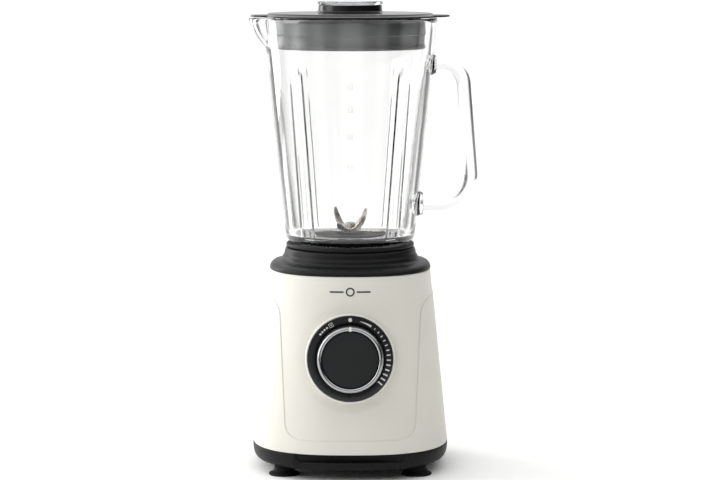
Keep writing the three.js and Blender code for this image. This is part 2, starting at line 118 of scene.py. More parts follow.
def outlined(name, corners, closed=True):
    """An outline in the XZ plane, in millimetres, left open in edit mode. It is drawn corner by corner, (x, z,
    rounding), by extruding a vertex, and the corners are then rounded with vertex bevels."""
    piece = added(name, "plane", size=MM)
    bpy.ops.mesh.merge(type="CENTER")
    places = [Vector((x * MM, 0, z * MM)) for x, z, _ in corners]
    bpy.ops.transform.translate(value=places[0])
    for start, end in zip(places, places[1:] + places[:1] * closed):
        bpy.ops.mesh.extrude_region_move(TRANSFORM_OT_translate={"value": end - start})
    bpy.ops.mesh.select_all(action="SELECT")
    bpy.ops.mesh.remove_doubles(threshold=1e-6)
    for rounding in sorted({c[2] for c in corners if c[2]}, reverse=True):
        rounded = [p for p, c in zip(places, corners) if c[2] == rounding]
        pick(piece, lambda v: any((v.co - p).length < 2e-6 for p in rounded))
        bpy.ops.mesh.bevel(offset=rounding * MM, offset_type="OFFSET", segments=min(14, 2 + round(rounding)),
            affect="VERTICES", clamp_overlap=True)
    bpy.ops.mesh.select_all(action="SELECT")
    return piece


def turned(name, corners, steps=96, closed=True):
    """A piece turned on the Z axis: an outline of (radius, height, rounding) spun once round."""
    piece = outlined(name, corners, closed)
    bpy.ops.mesh.spin(steps=steps, angle=2 * math.pi, center=(0, 0, 0), axis=(0, 0, 1))
    bpy.ops.mesh.select_all(action="SELECT")
    bpy.ops.mesh.remove_doubles(threshold=5e-6)
    bpy.ops.mesh.delete_loose(use_verts=True, use_edges=True, use_faces=False)
    closed_up()
    return piece


def pressed(name, corners, front, back):
    """A flat piece: an outline in the XZ plane, filled and drawn out along Y from front to back."""
    piece = outlined(name, corners)
    bpy.ops.mesh.edge_face_add()
    bpy.ops.transform.translate(value=(0, front * MM, 0))
    bpy.ops.mesh.extrude_region_move(TRANSFORM_OT_translate={"value": (0, (back - front) * MM, 0)})
    closed_up()
    return piece


def block(name, low, high, rounding=0):
    """A block between two corners, in millimetres, with its upright edges rounded."""
    low, high = Vector(low) * MM, Vector(high) * MM
    piece = added(name, "cube", size=1, location=(low + high) / 2, scale=high - low)
    if rounding:
        pick(piece, lambda e: abs((e.verts[0].co - e.verts[1].co).normalized().z) > 0.9, "edges")
        bpy.ops.mesh.bevel(offset=rounding * MM, segments=4, affect="EDGES")
    bpy.ops.object.mode_set(mode="OBJECT")
    return piece


def rod(name, radius, low, high, at=(0, 0), sides=48):
    """An upright rod, in millimetres."""
    piece = added(name, "cylinder", vertices=sides, radius=radius * MM, depth=(high - low) * MM,
                  location=(at[0] * MM, at[1] * MM, (low + high) / 2 * MM))
    bpy.ops.object.mode_set(mode="OBJECT")
    return piece


def joined(name, *pieces):
    """Several meshes made into one object."""
    bpy.ops.object.select_all(action="DESELECT")
    for piece in pieces:
        piece.select_set(True)
    bpy.context.view_layer.objects.active = pieces[0]
    if len(pieces) > 1:
        bpy.ops.object.join()
    pieces[0].name = pieces[0].data.name = name
    return pieces[0]


def squared(piece, exponent, round_to=0, square_from=0, deepen=FOOT_HALF_DEPTH / FOOT_HALF_WIDTH):
    """Pulls a turned piece out into a rounded square, fully beyond square_from and not at all within round_to.
    exponent is a number, or a function of the height in millimetres: 2 is a circle and more is squarer."""
    for v in piece.data.vertices:
        radius = math.hypot(v.co.x, v.co.y)
        if radius < 1e-7:
            continue
        n = exponent(v.co.z / MM) if callable(exponent) else exponent
        reach = (abs(v.co.x / radius) ** n + abs(v.co.y / radius) ** n) ** (-1 / n)
        share = 1.0
        if square_from:
            share = min(1.0, max(0.0, (radius / MM - round_to) / (square_from - round_to)))
        v.co.x *= 1 + share * (reach - 1)
        v.co.y *= (1 + share * (reach - 1)) * (1 + share * (deepen - 1))


def modified(piece, kind, **settings):
    """Adds a modifier to a piece and applies it."""
    change = piece.modifiers.new("change", kind)
    for name, value in settings.items():
        setattr(change, name, value)
    bpy.context.view_layer.objects.active = piece
    bpy.ops.object.modifier_apply(modifier=change.name)


def carve(piece, *tools, operation="DIFFERENCE", keep_finish=False):
    """Cuts the tools out of a piece, or welds them on, and deletes the tools."""
    for tool in tools:
        modified(piece, "BOOLEAN", operation=operation, object=tool, solver="EXACT",
                 material_mode="TRANSFER" if keep_finish else "INDEX")
        bpy.data.objects.remove(tool)


def weld(piece, *tools, keep_finish=False):
    """Joins the tools to a piece as one solid."""
    carve(piece, *tools, operation="UNION", keep_finish=keep_finish)


def spun(degrees, axis="Z"):
    """A turn about an axis."""
    return Matrix.Rotation(math.radians(degrees), 4, axis)


def place(piece, matrix):
    """Moves a piece's mesh, and leaves the object itself at the origin."""
    piece.data.transform(matrix)
    piece.data.update()
    return piece


def smooth(piece, angle=35):
    """Shades a piece smooth, except over edges sharper than the angle."""
    bpy.ops.object.select_all(action="DESELECT")
    piece.select_set(True)
    bpy.context.view_layer.objects.active = piece
    bpy.ops.object.shade_smooth_by_angle(angle=math.radians(angle))


def fit(piece, body, slot, nodes, *finishes):
    """Gives a finished piece its material, its body and the CAD nodes that it stands for. The record's slot is not
    used.
    """
    for finish in finishes:
        if finish.name not in piece.data.materials:
            piece.data.materials.append(finish)
    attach(piece, body)
    if nodes:
        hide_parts(*nodes)
    return piece


def seat(piece, body, slot, nodes, *finishes, shade=35, at=ON_AXIS):
    """Moves a piece into place, shades it smooth and fits it."""
    place(piece, at)
    smooth(piece, shade)
    return fit(piece, body, slot, nodes, *finishes)


def add_node(tree, kind, inputs=None, **settings):
    """One shader node. Sockets among the inputs are linked, and anything else is a value."""
    made = tree.nodes.new(kind)
    for name, value in settings.items():
        setattr(made, name, value)
    for name, value in (inputs or {}).items():
        if isinstance(value, bpy.types.NodeSocket):
            tree.links.new(value, made.inputs[name])
        else:
            made.inputs[name].default_value = value
    return made


def linear(hex_colour):
    """An sRGB hex colour as linear RGBA."""
    channels = [int(hex_colour[i : i + 2], 16) / 255 for i in (1, 3, 5)]
    return [c / 12.92 if c <= 0.04045 else ((c + 0.055) / 1.055) ** 2.4 for c in channels] + [1.0]


def ramp(tree, value, low, high, to_low=0.0, to_high=1.0, curve="SMOOTHSTEP"):
    """A value carried from the range low to high into another range."""
    ends = {"Value": value, "From Min": low, "From Max": high, "To Min": to_low, "To Max": to_high}
    return add_node(tree, "ShaderNodeMapRange", ends, interpolation_type=curve).outputs["Result"]


def noise(tree, where, size_mm, detail, roughness=0.5):
    """Cloudy noise with features of a given size."""
    inputs = {"Vector": where, "Scale": 1 / (size_mm * MM), "Detail": detail, "Roughness": roughness}
    return add_node(tree, "ShaderNodeTexNoise", inputs).outputs["Fac"]


def blend(tree, share, first, second):
    """A mix of two hex colours."""
    return add_node(tree, "ShaderNodeMix", {0: share, 6: linear(first), 7: linear(second)},
                    data_type="RGBA").outputs[2]


def bumped(tree, shader, height, depth_mm):
    """Raises a shader's surface by a pattern, up to a depth."""
    bump = add_node(tree, "ShaderNodeBump", {"Height": height, "Strength": 1.0, "Distance": depth_mm * MM})
    tree.links.new(bump.outputs["Normal"], shader.inputs["Normal"])


def patterned(tree, shader, pattern, colour, other, roughness, spread):
    """Lets a pattern drive a shader's colour and its roughness."""
    tree.links.new(blend(tree, pattern, colour, other), shader.inputs["Base Color"])
    gloss = ramp(tree, pattern, 0.3, 0.7, roughness - spread, roughness + spread, "LINEAR")
    tree.links.new(gloss, shader.inputs["Roughness"])


def new_material(name):
    """An empty node material with its shader and output, and the Object coordinates that patterns are laid on."""
    material = bpy.data.materials.new(name)
    material.use_nodes = True
    tree = material.node_tree
    tree.nodes.clear()
    shader = add_node(tree, "ShaderNodeBsdfPrincipled")
    output = add_node(tree, "ShaderNodeOutputMaterial", {"Surface": shader.outputs[0]})
    where = add_node(tree, "ShaderNodeTexCoord").outputs["Object"]
    return material, tree, shader, output, where


DRIFT_MM = 28.0


def moulded(name, colour, worn, roughness, spread, grain_mm, grain_depth_mm, specular=0.5):
    """Moulded plastic or rubber: the mould's fine grain, with a shade and a gloss that drift a little."""
    material, tree, shader, output, where = new_material(name)
    patterned(tree, shader, noise(tree, where, DRIFT_MM, 3.0, 0.55), colour, worn, roughness, spread)
    bumped(tree, shader, noise(tree, where, grain_mm, 2.0), grain_depth_mm)
    shader.inputs["IOR"].default_value = 1.49
    shader.inputs["Specular IOR Level"].default_value = specular
    return material


# Polypropylene from an etched mould: a soft, slightly greyish black that shows no sharp reflections.
black_polypropylene = moulded("black_polypropylene_moulded", "#161617", "#1a1a1b", 0.47, 0.04, 0.9, 0.012, 0.14)


def move(x=0, y=0, z=0):
    """A move in millimetres."""
    return Matrix.Translation(Vector((x, y, z)) * MM)


SQUARE_FOOT, SQUARE_TOP = 2.6, 2.35
SCREW_X, SCREW_Y = 73, 30
FOOT_X, FOOT_Y = 58.3, 54
RECESS_TOP_HALF, RECESS_BOTTOM_HALF = 48.5, 45

base_pan = turned("pan_tray", [
    (0, 9, 0), (84.6, 9, 4.6), (87.6, 17, 4), (87.3, 23.65, 0.5), (83.7, 23.65, 0.3), (83.7, 27.8, 0.5),
    (81.9, 27.8, 0.5), (81.9, 12, 1.5), (0, 12, 0)], 144, closed=False)
squared(base_pan, SQUARE_FOOT)
weld(base_pan, block("recess_back", (-49.6, -84.2, 11), (49.6, -79.6, 23.6)))
VENT_RADIUS, VENT_PITCH, VENT_HALF_WIDTH = 34, 7, 1.7
air_slots = []
for row in range(-3, 4):
    middle = row * VENT_PITCH
    half = math.sqrt(VENT_RADIUS**2 - middle**2)
    air_slots.append(block("air_slot", (-half, middle - VENT_HALF_WIDTH, 5), (half, middle + VENT_HALF_WIDTH, 15),
        1.6))
for x in (-SCREW_X, SCREW_X):
    for y in (-SCREW_Y, SCREW_Y):
        air_slots.append(rod("screw_seat", 4.2, 5, 10.6, (x, y), 32))
for x in (-FOOT_X, FOOT_X):
    for y in (-FOOT_Y, FOOT_Y):
        air_slots.append(turned("foot_seat", [(15.4, 8, 0), (15.4, 9.35, 0.3), (14.6, 9.35, 0.3), (14.6, 8, 0)], 48))
        place(air_slots[-1], move(x, y))
        air_slots.append(rod("foot_hole", 4.1, 8, 16, (x, y), 32))
carve(base_pan, joined("floor_openings", *air_slots))
recess = pressed("recess", [(-RECESS_TOP_HALF, 26, 0), (-RECESS_TOP_HALF, 22.6, 1), (-RECESS_BOTTOM_HALF, 16.8, 2.2),
    (RECESS_BOTTOM_HALF, 16.8, 2.2), (RECESS_TOP_HALF, 22.6, 1), (RECESS_TOP_HALF, 26, 0)], -100, -82.4)
gland_hole = place(rod("gland_hole", 4.8, -12, 12), move(0, 88, 16.5) @ spun(-90, "X"))
carve(base_pan, recess, gland_hole)
seat(base_pan, "base", "charcoal_plastic", ["base_pan"], black_polypropylene)

# ------------ feet, screws and cord gland
# Four moulded rubber suction feet are pushed into the pan's floor, and four zinc plated cross-head screws hold the
# pan to the posts of the housing. A rubber gland lines the hole through which the cord leaves at the back.
nitrile_rubber = moulded("nitrile_rubber_moulded", "#141415", "#191919", 0.62, 0.05, 0.7, 0.01, 0.12)


def metal(name, colour, other, roughness, spread, streak, scale_mm, bump_mm):
    """A metal surface with the marks of how it was made. streak stretches the pattern along X, Y and Z."""
    material, tree, shader, output, where = new_material(name)
    stretched = add_node(tree, "ShaderNodeMapping", {"Vector": where, "Scale": streak}).outputs[0]
    marks = noise(tree, stretched, scale_mm, 3.0)
    patterned(tree, shader, marks, colour, other, roughness, spread)
    bumped(tree, shader, marks, bump_mm)
    shader.inputs["Metallic"].default_value = 1.0
    return material


def copied(piece, name):
    """A copy of a piece with its own mesh."""
    twin = piece.copy()
    twin.data = piece.data.copy()
    twin.name = twin.data.name = name
    bpy.context.collection.objects.link(twin)
    return twin


# Zinc plate is a bluish grey with a soft gloss.
zinc_plate = metal("zinc_plated_steel", "#a7abb0", "#b9bcbf", 0.34, 0.06, (1, 1, 1), 3, 0.004)
first_foot = turned("foot", [
    (0, 3.2, 0), (5.5, 2.9, 1), (10.2, 1, 0.8), (11.6, 0, 0.2), (13.6, 0, 0.5), (13.6, 1.5, 0.6), (10.6, 2.7, 1.2),
    (8.9, 4.4, 1.2), (8.5, 8.7, 0.3), (3.8, 8.9, 0.1), (3.8, 13.8, 0.5), (0, 13.8, 0)], 64, closed=False)
first_screw = turned("screw", [(0, 7.9, 0), (2.8, 8, 0.4), (3.7, 9, 0.3), (3.7, 9.9, 0.1), (1.2, 9.9, 0),
    (1.2, 34, 0.3), (0, 35, 0)], 32, closed=False)
carve(first_screw, block("bar", (-1.9, -0.4, 7), (1.9, 0.4, 9)), block("bar", (-0.41, -1.9, 7), (0.39, 1.9, 9.1)))
for end, y in (("front", -1), ("rear", 1)):
    for side, x in (("left", -1), ("right", 1)):
        seat(copied(first_foot, f"foot_{end}_{side}"), "base", "rubber", [f"suction_foot_{end}_{side}"],
             nitrile_rubber, at=ON_AXIS @ move(x * FOOT_X, y * FOOT_Y))
        seat(copied(first_screw, f"screw_{end}_{side}"), "base", "steel", [f"pan_screw_{end}_{side}"],
             zinc_plate, at=ON_AXIS @ move(x * SCREW_X, y * SCREW_Y))
bpy.data.objects.remove(first_foot)
bpy.data.objects.remove(first_screw)
cord_gland = turned("gland", [(3.2, -6, 0.2), (4.4, -6, 0.3), (4.4, 3, 0.1), (6.4, 3, 0.3), (6.4, 4.4, 0.5),
    (4.6, 5.2, 0.4), (4.2, 6.3, 0.4), (3.2, 6.3, 0.3)], 48)
seat(cord_gland, "base", "rubber", ["cord_gland"], nitrile_rubber, at=ON_AXIS @ move(0, FOOT_HALF_DEPTH - 2.2, 16.5)
    @ spun(-90, "X"))

# ------------ housing
# The ivory cover of the motor, moulded in ABS in one piece: a tapered rounded square that leans in on all sides. The
# front panel and the band at the top are smooth, and the sides, the back and the sill are a fine grained skin that
# stands a little proud of them. A lip round the dial rises out of a shallow dish in the front.
HOUSING_FOOT, HOUSING_TOP = 24.0, 178.0
TOP_HALF_WIDTH = 72.0
GRAIN_PROUD = 0.45
LEAN = (FOOT_HALF_WIDTH - TOP_HALF_WIDTH) / (HOUSING_TOP - HOUSING_FOOT)
knob_joint = next(j for j in frame["record"]["behaviour"]["joints"] if j["name"] == "knob_turn")
DIAL_ON = Matrix.Translation(Vector(knob_joint["pos_m"])) @ (
    -Vector(knob_joint["axis"])).to_track_quat("Z", "Y").to_matrix().to_4x4()
dial_from_axis = Matrix.Translation(-AXIS) @ DIAL_ON
DIAL_LIP = 37.35


def squareness(z):
    return SQUARE_FOOT + (SQUARE_TOP - SQUARE_FOOT) * (z - HOUSING_FOOT) / (HOUSING_TOP - HOUSING_FOOT)


def wall(z, proud=0.0):
    """Half the housing's width at a height."""
    return FOOT_HALF_WIDTH - GRAIN_PROUD + proud - LEAN * (z - HOUSING_FOOT)


def housing_section(proud, inside, rows, foot, top):
    """A closed section of the wall, with rows of points up its outside."""
    heights = [foot + (top - foot) * i / rows for i in range(rows + 1)]
    ends = {0: 0.3, rows: 0.7}
    outer = [(wall(z, proud), z, ends.get(i, 0)) for i, z in enumerate(heights)]
    inner = [(wall(z, inside), z, 0) for z in (heights[-1], heights[rows // 2], heights[0])]
    return outer + inner


# Smooth ABS from a polished mould keeps a faint ripple in its gloss.
ivory_abs = moulded("ivory_abs_smooth", "#e1dfd6", "#dddbd1", 0.4, 0.03, 1.6, 0.006, 0.35)
# Spark-eroded mould grain, with cells of about 0.4 mm on the real cover, drawn at 1.1 mm so that it shows.
grained_abs = moulded("ivory_abs_grained", "#e2e0d7", "#dcdad0", 0.52, 0.04, 1.1, 0.10, 0.35)

housing = turned("housing_cover", housing_section(0, -2.6, 84, HOUSING_FOOT, HOUSING_TOP), 320)
outer_face = [v.index for v in housing.data.vertices if math.hypot(v.co.x, v.co.y) / MM > wall(v.co.z / MM) - 1]
squared(housing, squareness)
DISH_DEPTH, DISH_INNER, DISH_OUTER = 0.9 * MM, 39.8 * MM, 47.5 * MM
to_dial = dial_from_axis.inverted()
for index in outer_face:
    v = housing.data.vertices[index]
    local = to_dial @ v.co
    off = math.hypot(local.x, local.y)
    if v.co.y > 0 or off > DISH_OUTER:
        continue
    t = min(1.0, (DISH_OUTER - off) / (DISH_OUTER - DISH_INNER))
    local.z -= DISH_DEPTH * t * t * (3 - 2 * t)
    v.co = dial_from_axis @ local
skin = turned("housing_grain", housing_section(GRAIN_PROUD, -0.9, 24, HOUSING_FOOT - 0.1, HOUSING_TOP - 18), 200)
squared(skin, squareness)
PANEL_TOP, PANEL_FOOT = 156.5, 35.8
panel = pressed("panel_tool", [(-120, 190, 0), (-120, PANEL_TOP, 0), (-62.7, PANEL_TOP, 14), (-56.6, PANEL_FOOT, 13),
    (56.6, PANEL_FOOT, 13), (62.7, PANEL_TOP, 14), (120, PANEL_TOP, 0), (120, 190, 0)], -130, -8)
carve(skin, panel, block("band_tool", (-120, -120, PANEL_TOP), (120, 120, 190)))
housing.data.materials.append(ivory_abs)
skin.data.materials.append(grained_abs)
dial_hole = place(rod("dial_hole", DIAL_LIP, -24, 14, sides=96), dial_from_axis)
dial_lip = place(turned("dial_lip", [(DIAL_LIP, -5, 0), (39.4, -5, 0), (39.2, 0, 0.4), (38.7, 1.7, 0.5),
    (37.6, 1.9, 0.4), (DIAL_LIP, 1.5, 0)], 96), dial_from_axis)
dial_lip.data.materials.append(ivory_abs)
weld(housing, dial_lip, keep_finish=True)
carve(housing, dial_hole)
weld(housing, skin, keep_finish=True)
seat(housing, "base", "ivory_plastic", ["housing_shell"], shade=30)


def front_y(x, z):
    """Where the front of the housing is, in front of the axis, in millimetres."""
    half, n = wall(z), squareness(z)
    return -half * FOOT_HALF_DEPTH / FOOT_HALF_WIDTH * (1 - (abs(x) / half) ** n) ** (1 / n)


def opened(piece):
    """Opens a piece in edit mode, all selected."""
    bpy.context.view_layer.objects.active = piece
    bpy.ops.object.mode_set(mode="EDIT")
    bpy.ops.mesh.select_all(action="SELECT")


def printed(name, pieces, body, slot, ink, surface):
    """Flat marks drawn in the XZ plane are joined, wrapped on a surface and given the thickness of a print."""
    marks = joined(name, *pieces)
    opened(marks)
    closed_up()
    for v in marks.data.vertices:
        v.co = surface(v.co)
    return fit(marks, body, slot, [], ink)


# Pad-printed ink, a matt film.
grey_ink = moulded("grey_pad_print_ink", "#3a3b3f", "#404145", 0.5, 0.03, 0.4, 0.003)
MARK_Z = 165.0


def mark_shape(name, corners):
    """A flat shape with crossing lines every 2 mm so that it can follow the curved front."""
    shape = pressed(name, corners, -0.25, 0.15)
    opened(shape)
    low = min(c[0] for c in corners)
    cut = low + 2
    while cut < max(c[0] for c in corners):
        bpy.ops.mesh.select_all(action="SELECT")
        bpy.ops.mesh.bisect(plane_co=(cut * MM, 0, 0), plane_no=(1, 0, 0))
        cut += 2
    bpy.ops.object.mode_set(mode="OBJECT")
    return shape


mark_ring = turned("mark_ring", [(2.6, -0.25, 0), (3.9, -0.25, 0), (3.9, 0.15, 0), (2.6, 0.15, 0)], 48)
place(mark_ring, spun(-90, "X"))
bar = [(5.6, -0.7, 0.5), (17.8, -0.7, 0.5), (17.8, 0.7, 0.5), (5.6, 0.7, 0.5)]
printed(
    "front_mark", [mark_ring, mark_shape("bar_right", bar), mark_shape("bar_left", [(-x, z, r) for x, z, r in bar])],
    "base", "charcoal_plastic", grey_ink,
    lambda co: AXIS + Vector((co.x, co.y + (front_y(co.x / MM, MARK_Z + co.z / MM) + 0.1) * MM, MARK_Z * MM + co.z)))

# ------------ dial scale
# The black ring round the knob is a gloss ABS disc pressed into the lip. Its marks are pad printed in white: a dot
# at rest, a run of growing bars for the speeds, and plain symbols for a burst and for the start of the scale.
gloss_abs = moulded("black_abs_gloss", "#202123", "#242527", 0.3, 0.03, 0.8, 0.004, 0.35)
scale_ring = turned("dial_scale", [(4.4, -3.4, 0), (37.0, -3.4, 0.2), (37.0, 1.5, 0.4), (30.5, 1.5, 0.4),
    (30.5, -1.4, 0.3), (4.4, -1.4, 0)], 128)
seat(scale_ring, "base", "black_plastic", ["scale_ring"], gloss_abs, at=DIAL_ON)

white_ink = moulded("white_pad_print_ink", "#e9e9e6", "#dededc", 0.5, 0.03, 0.4, 0.003)
SCALE_FACE, SCALE_MIDDLE = 1.5, 33.5
TICKS, FIRST_TICK, LAST_TICK = 13, 39.5, 129.3


def dial_bar(name, half_wide, half_long, angle, rounding=0):
    """A bar of print on the scale ring, at an angle clockwise from the top of the dial."""
    bar = block(name, (-half_wide, SCALE_MIDDLE - half_long, SCALE_FACE - 0.1),
                (half_wide, SCALE_MIDDLE + half_long, SCALE_FACE + 0.08), rounding)
    return place(bar, spun(-angle))


marks = []
for tick in range(TICKS):
    share = tick / (TICKS - 1)
    angle = FIRST_TICK + (LAST_TICK - FIRST_TICK) * share
    marks.append(dial_bar("tick", 0.36 + 0.36 * share, 0.85 + 1.5 * share, angle, 0.2))
marks.append(rod("rest_dot", 1.7, SCALE_FACE - 0.1, SCALE_FACE + 0.08, (0, 33.7), 32))
WEDGE_STEPS, BURST_ANGLE = 9, -29.7
for step in range(WEDGE_STEPS):
    marks.append(dial_bar("wedge", 0.62, 0.25 + 0.7 * step / WEDGE_STEPS, 16 + step * 2.0))
burst_frame = dial_bar("burst_frame", 1.9, 1.9, 0, 0.5)
carve(burst_frame, block("burst_gap", (-1.5, SCALE_MIDDLE - 1.5, 0), (1.5, SCALE_MIDDLE + 1.5, 3), 0.3))
marks.append(place(burst_frame, spun(-BURST_ANGLE)))
burst_dot = rod("burst_dot", 0.65, SCALE_FACE - 0.1, SCALE_FACE + 0.08, (0, SCALE_MIDDLE), 20)
marks.append(place(burst_dot, spun(-BURST_ANGLE)))
for angle in (-37, -41.5, -46, -50.5):
    marks.append(dial_bar("burst", 0.9, 0.75, angle, 0.3))
printed("scale_marks", marks, "base", "black_plastic", white_ink, lambda co: DIAL_ON @ co)

# ------------ knob
# The control knob: a black ABS cup with a chrome plated trim ring snapped on its front and a matt disc laid in the
# ring. A white pointer is set in a notch at the top of the ring.
KNOB_FRONT = 21.0
knob_body = turned("knob_cup", [(3.5, -0.9, 0.2), (29.5, -0.9, 0.4), (29.3, 0.6, 0.5), (28.3, KNOB_FRONT - 4.1, 0.4),
    (24.2, KNOB_FRONT - 4.1, 0.2), (24.2, KNOB_FRONT - 2.4, 0), (0, KNOB_FRONT - 2.4, 0), (0, 10.6, 0),
    (3.5, 10.6, 0)], 128)
seat(knob_body, "knob", "black_plastic", ["knob_body"], gloss_abs, at=DIAL_ON)

# Chromed ABS with a satin plate: the colour of chrome, and reflections that are soft but still run round the ring.
satin_chrome = metal("satin_chrome_plate", "#9fa0a3", "#b2b3b5", 0.14, 0.03, (1, 1, 1), 4, 0.002)
trim_ring = turned("knob_trim", [(24.55, KNOB_FRONT - 3.6, 0.1), (28.5, KNOB_FRONT - 3.6, 0.3),
    (28.6, KNOB_FRONT - 1.3, 1.2), (27.5, KNOB_FRONT + 0.8, 1), (25.6, KNOB_FRONT + 0.8, 0.9),
    (24.55, KNOB_FRONT - 0.7, 0.5)], 160)
carve(trim_ring, block("notch", (-1.15, 23, KNOB_FRONT - 1.4), (1.15, 30, KNOB_FRONT + 3)))
seat(trim_ring, "knob", "satin_chrome", ["knob_trim_ring"], satin_chrome, at=DIAL_ON)
pointer = block("knob_pointer", (-1.1, 24.7, KNOB_FRONT - 1.6), (1.1, 28.3, KNOB_FRONT + 0.9), 0.3)
seat(pointer, "knob", "ivory_plastic", [], white_ink, at=DIAL_ON)

# The disc is ABS from a finely etched mould, dark grey and almost without gloss.
matt_abs = moulded("dark_abs_matt", "#222324", "#252627", 0.6, 0.04, 0.5, 0.012, 0.16)
knob_disc = turned("knob_disc", [(0, KNOB_FRONT - 2, 0), (24.1, KNOB_FRONT - 2, 0.1), (24.1, KNOB_FRONT - 0.4, 0.5),
    (12, KNOB_FRONT - 0.15, 6), (0, KNOB_FRONT - 0.1, 0)], 96, closed=False)
seat(knob_disc, "knob", "black_plastic", ["knob_face"], matt_abs, at=DIAL_ON)

# ------------ top collar
# The black top of the base, moulded in polypropylene: a rounded square shoulder that meets the ivory cover, and a
# round seat in its middle that the jug's lock ring drops into.
WELL, SEAT_TOP, SEAT_FLOOR = 53.8, 196.2, 184.0
SWITCH_PIN_Y = 45
collar = turned("collar", [
    (11, 180.6, 0), (66.8, 180.6, 0), (66.8, 173, 0.4), (69, 173, 0.4), (69, 178.35, 0), (71.9, 178.35, 0.4),
    (71.7, 180.6, 1.2), (69.4, 183.2, 1.8), (66, 184.2, 2), (62.6, 184.4, 1.4), (60.6, 186.6, 1), (60.3, 189, 1.1),
    (58.9, 190.6, 0.9), (58.5, 193.8, 1.2), (57.5, 195.9, 0.7), (56.8, SEAT_TOP, 0.4), (WELL + 0.5, SEAT_TOP, 0.5),
    (WELL, 195, 0.4), (WELL, SEAT_FLOOR, 1.2), (13, SEAT_FLOOR, 0.3), (13, SEAT_FLOOR + 0.9, 0.3),
    (11, SEAT_FLOOR + 0.9, 0.3)], 160)
squared(collar, SQUARE_TOP, 61.5, 69.5)
carve(collar, rod("pin_hole", 2.7, 170, 190, (0, SWITCH_PIN_Y), 32))
black_satin = moulded("black_polypropylene_satin", "#141415", "#18191a", 0.4, 0.04, 0.8, 0.008, 0.16)
seat(collar, "base", "black_plastic", ["top_collar"], black_satin, shade=40)

# The pin of the safety switch stands in a hole in the seat's floor.
pin = turned("switch_pin", [(0, 158.6, 0), (2.2, 158.6, 0.3), (2.2, 172, 0), (4.6, 172, 0.2), (4.6, 174, 0.2),
    (2.2, 174, 0), (2.2, 184.5, 0.9), (0, 184.5, 0)], 32, closed=False)
seat(pin, "interlock_plunger", "black_plastic", ["interlock_pin"], black_satin, at=ON_AXIS @ move(y=SWITCH_PIN_Y))

# ------------ drive couplings
# The motor's coupling is a six-tooth star moulded in hard rubber on the shaft, and the one under the jug is a cup
# with the same star cut out of it, which drops over it.
def star(name, tip, root, low, high, rounding):
    """An upright prism with six teeth."""
    points = []
    for i in range(24):
        angle, radius = (i - 0.5) * math.pi / 12, tip if i % 4 < 2 else root
        points.append((radius * math.cos(angle), radius * math.sin(angle), rounding))
    piece = pressed(name, points, -high, -low)
    return place(piece, spun(-90, "X"))


drive = turned("motor_coupling", [(4.3, 173, 0.2), (9, 173, 0.3), (9, 185.3, 0.3), (16, 185.3, 0.2), (16, 186.2, 0.4),
    (13.6, 187.2, 0.5), (0, 187.2, 0), (0, 189, 0), (4.3, 189, 0)], 96)
weld(drive, star("teeth", 12.4, 9.6, 186.5, 194.5, 0.5))
hard_rubber = moulded("hard_rubber_moulded", "#161617", "#1b1b1c", 0.5, 0.05, 0.6, 0.01, 0.15)
seat(drive, "motor_rotor", "rubber", ["drive_coupling"], hard_rubber)
driven = turned("jug_coupling", [(4.3, 187.8, 0), (17, 187.8, 0.5), (17, 197, 0.6), (4.3, 197, 0)], 96)
carve(driven, star("socket", 13, 10.2, 186, 195.2, 0.5))
seat(driven, "blades", "rubber", ["driven_coupling"], hard_rubber)

# ------------ lock ring
# The jug's black collar: a glass-filled nylon ring screwed on the jug's foot, which clamps the blade unit to the
# glass and locates the jug in the seat.
lock_ring = turned("jug_collar", [(36, 185, 0.3), (52.9, 185, 0.8), (52.9, 196.7, 0.2), (56.3, 196.9, 0.2),
    (57.2, 197.5, 0.4), (57.2, 199.6, 0.5), (56.2, 200.4, 0.3), (53.4, 200.3, 0.2), (48.3, 200.3, 0.3),
    (48.3, 187, 0.3), (36, 187, 0.3)], 128)
ribs = []
for i in range(24):
    rib = block("grip", (52.6, -0.9, 186), (53.25, 0.9, 195.6), 0.25)
    ribs.append(place(rib, spun(i * 15)))
weld(lock_ring, joined("grips", *ribs))
black_nylon = moulded("black_nylon_glass_filled", "#161617", "#1b1b1c", 0.45, 0.05, 0.6, 0.012, 0.15)
seat(lock_ring, "lock_ring", "black_plastic", ["lock_ring"], black_nylon)

# ------------ blade unit
# A black plastic mount holds two sintered bushings in which the blade shaft turns, and a silicone ring seals it to
# the glass. Three strips of stainless steel are stamped, ground and bent, and a nut clamps them on the shaft.
mount = turned("blade_mount", [(30.8, 187.35, 0.3), (46.6, 187.35, 0.4), (46.6, 189, 0.4), (33.4, 189, 0.4),
    (33.4, 206.2, 1.2), (30.5, 207.4, 0.8), (29, 206.6, 0.5), (13.5, 206.6, 0.8), (12, 208.2, 0.5), (7.4, 208.2, 0.3),
    (7.4, 197.4, 0.2), (9.8, 197.4, 0.3), (9.8, 203.5, 0.6), (30.8, 203.5, 0.8)], 128)
seat(mount, "jug", "charcoal_plastic", ["blade_base"], black_nylon)
# Silicone rubber: milky, soft and a little translucent to the eye.
silicone = moulded("grey_silicone_rubber", "#626366", "#6a6b6e", 0.36, 0.04, 0.9, 0.01, 1.0)
gasket = turned("gasket", [(34.6, 189.35, 0.3), (46.2, 189.35, 0.3), (46.2, 190.65, 0.3), (34.6, 190.65, 0.3)], 96)
seat(gasket, "jug", "grey_silicone", ["blade_gasket"], silicone)
sintered_bronze = metal("sintered_bronze", "#9c7a4b", "#86683d", 0.5, 0.08, (1, 1, 1), 0.5, 0.01)
for name, low, high in (("lower", 197.7, 202.6), ("upper", 203.0, 207.9)):
    bushing = turned(f"{name}_bush", [(4.4, low, 0.2), (7.05, low, 0.3), (7.05, high, 0.3), (4.4, high, 0.2)], 64)
    seat(bushing, "jug", "bronze", [f"{name}_bushing"], sintered_bronze)
